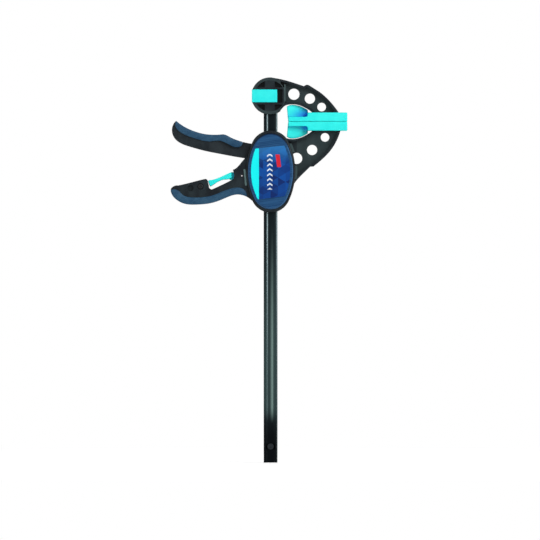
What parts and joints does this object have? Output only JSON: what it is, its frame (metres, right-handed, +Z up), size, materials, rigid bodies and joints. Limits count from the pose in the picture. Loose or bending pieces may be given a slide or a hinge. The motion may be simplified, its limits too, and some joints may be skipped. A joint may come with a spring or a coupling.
{
  "type": "quick release bar clamp",
  "caption": "One-handed quick release bar clamp: steel bar, fixed and sliding jaw with soft pads, pistol handle with squeeze trigger, release lever and jaw lock button.",
  "frame": {"origin": "middle of the fixed jaw's clamping face, in the clamp's middle plane", "axes": "+Z up along the bar, from the sliding jaw towards the fixed jaw; +X from the bar out along the jaws; Y is the thickness"},
  "size_m": [0.2242, 0.0336, 0.4889],
  "materials": {
    "bar_steel": "black oxide steel, satin",
    "stud_steel": "dark zinc plated",
    "black_nylon": "glass filled nylon, satin",
    "teal_rubber": "soft thermoplastic rubber, satin",
    "teal_plastic": "moulded, satin",
    "blue_plastic": "moulded, finely brushed",
    "blue_rubber": "soft grip, satin",
    "label_film": "printed film, glossy",
    "plate_steel": "hardened steel, ground",
    "spring_steel": "spring wire",
    "pin_steel": "bright steel",
    "screw_steel": "black zinc plated"
  },
  "bodies": {
    "root": {"bar": "bar_steel", "lock_stud": "stud_steel", "stop_stud": "stud_steel", "fixed_jaw": "black_nylon", "fixed_jaw_pad": "teal_rubber", "lock_button_spring": "spring_steel"},
    "lock_button": {"jaw_lock_button": "teal_plastic"},
    "carriage": {"carriage": "black_nylon", "moving_jaw_pad": "teal_rubber", "front_cover": "blue_plastic", "rear_cover": "blue_plastic", "front_label": "label_film", "rear_label": "label_film", "handle_grip": "blue_rubber", "handle_screw": "screw_steel", "handle_nut": "screw_steel", "trigger_pin": "pin_steel", "release_pin": "pin_steel", "drive_spring": "spring_steel", "brake_spring": "spring_steel"},
    "trigger": {"trigger_lever": "black_nylon", "trigger_grip": "blue_rubber"},
    "drive_plates": {"drive_plate_upper": "plate_steel", "drive_plate_lower": "plate_steel"},
    "release": {"release_lever": "teal_plastic"},
    "brake": {"brake_plate": "plate_steel"}
  },
  "joints": [
    {"name": "jaw_slide", "type": "slide", "parent": "root", "child": "carriage", "axis": [0, 0, -1], "range_m": [0, 0.3]},
    {"name": "lock_button_push", "type": "slide", "parent": "root", "child": "lock_button", "axis": [1, 0, 0], "range_m": [0, 0.006], "stiffness_N_per_m": 700, "springref_m": -0.004, "deforming": ["lock_button_spring"]},
    {"name": "trigger_squeeze", "type": "hinge", "parent": "carriage", "child": "trigger", "pos_m": [-0.045, 0, -0.038], "axis": [0, -1, 0], "range_deg": [0, 17], "stiffness_Nm_per_rad": 0.8, "springref_deg": -20.05},
    {"name": "drive_plates_push", "type": "slide", "parent": "carriage", "child": "drive_plates", "axis": [0, 0, -1], "range_m": [0, 0.0094], "deforming": ["drive_spring"]},
    {"name": "release_press", "type": "hinge", "parent": "carriage", "child": "release", "pos_m": [-0.0955, 0, -0.069], "axis": [0, -1, 0], "range_deg": [0, 4], "stiffness_Nm_per_rad": 0.6, "springref_deg": -17.19},
    {"name": "brake_tilt", "type": "hinge", "parent": "carriage", "child": "brake", "pos_m": [-0.0725, 0, -0.0791], "axis": [0, 1, 0], "range_deg": [0, 5], "deforming": ["brake_spring"]}
  ],
  "couplings": [
    {"joint": "drive_plates_push", "follows": "trigger_squeeze", "m_per_rad": 0.0315},
    {"joint": "brake_tilt", "follows": "release_press", "ratio": 1.25}
  ]
}
